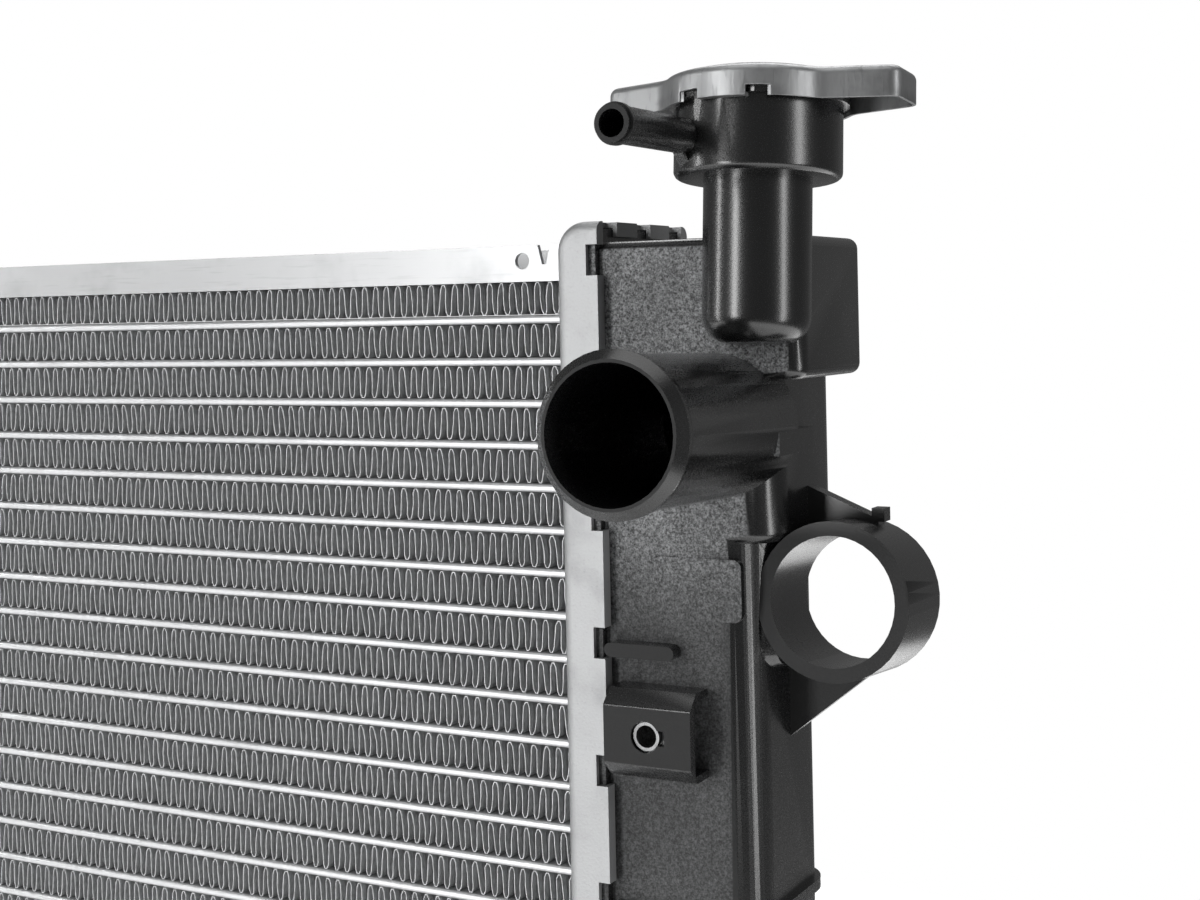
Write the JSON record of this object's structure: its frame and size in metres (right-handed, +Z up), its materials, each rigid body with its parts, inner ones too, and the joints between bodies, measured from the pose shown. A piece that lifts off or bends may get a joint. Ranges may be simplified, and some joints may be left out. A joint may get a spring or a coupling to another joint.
{
  "type": "car radiator",
  "caption": "Cross-flow engine radiator: flat tubes and corrugated fins between crimped plastic end tanks, with hose spigots, a filler neck and a twist-off pressure cap.",
  "frame": {"origin": "middle of the flat underside of the bottom side plate", "axes": "+X along the tubes towards the inlet tank with the filler neck, +Y away from the hose spigots, +Z up"},
  "size_m": [0.7917, 0.0964, 0.5296],
  "materials": {
    "tube_aluminium": "drawn and brazed, bright noses",
    "fin_aluminium": "thin rolled sheet, bright edges",
    "plate_aluminium": "mill finish sheet",
    "header_aluminium": "fine matt sheet after brazing",
    "tank_nylon": "glass-filled nylon, semi-matt with moulded grain",
    "seal_rubber": "matt moulded rubber",
    "clip_zinc": "bright zinc",
    "rivet_steel": "bright pressed",
    "spring_steel": "bright",
    "cap_steel": "plated pressed steel",
    "valve_brass": "plain",
    "drain_nylon": "moulded nylon"
  },
  "bodies": {
    "radiator": {"tubes": "tube_aluminium", "fin_strips": "fin_aluminium", "side_plate_top": "plate_aluminium", "side_plate_bottom": "plate_aluminium", "header_right": "header_aluminium", "header_left": "header_aluminium", "gasket_right": "seal_rubber", "gasket_left": "seal_rubber", "tank_right": "tank_nylon", "tank_left": "tank_nylon", "clip_nut_right": "clip_zinc", "clip_nuts_left": "clip_zinc"},
    "cap_carrier": {"cap_rivet": "rivet_steel", "cap_diaphragm": "spring_steel", "cap_top_seal": "seal_rubber", "cap_bell": "valve_brass", "pressure_spring": "spring_steel"},
    "cap_handle": {"cap_shell": "cap_steel", "cap_cover": "cap_steel"},
    "pressure_valve": {"pressure_plate": "valve_brass", "pressure_gasket": "seal_rubber", "vacuum_spring": "spring_steel"},
    "vacuum_poppet": {"vacuum_valve": "valve_brass"},
    "drain_plug": {"drain_seal": "seal_rubber"},
    "drain_knob": {"drain_cock": "drain_nylon"}
  },
  "joints": [
    {"name": "cap_lift", "type": "slide", "parent": "radiator", "child": "cap_carrier", "axis": [0, 0.0785, 0.9969], "range_m": [0, 0.045]},
    {"name": "cap_turn", "type": "hinge", "parent": "cap_carrier", "child": "cap_handle", "pos_m": [0.3794, -0.01777, 0.50183], "axis": [0, 0.0785, 0.9969], "range_deg": [-90, 0]},
    {"name": "pressure_valve_slide", "type": "slide", "parent": "cap_carrier", "child": "pressure_valve", "axis": [0, 0.0785, 0.9969], "range_m": [0, 0.0025], "stiffness_N_per_m": 1500, "springref_m": -0.01, "deforming": ["pressure_spring"]},
    {"name": "vacuum_valve_slide", "type": "slide", "parent": "pressure_valve", "child": "vacuum_poppet", "axis": [0, 0.0785, 0.9969], "range_m": [-0.0015, 0], "stiffness_N_per_m": 60, "springref_m": 0.003, "deforming": ["vacuum_spring"]},
    {"name": "drain_slide", "type": "slide", "parent": "radiator", "child": "drain_plug", "axis": [0, -1, 0], "range_m": [0, 0.0042]},
    {"name": "drain_turn", "type": "hinge", "parent": "drain_plug", "child": "drain_knob", "pos_m": [-0.356, -0.0293, 0.0167], "axis": [0, -1, 0], "range_deg": [0, 720]}
  ],
  "couplings": [
    {"joint": "drain_slide", "follows": "drain_turn", "m_per_rad": 0.00031831}
  ]
}
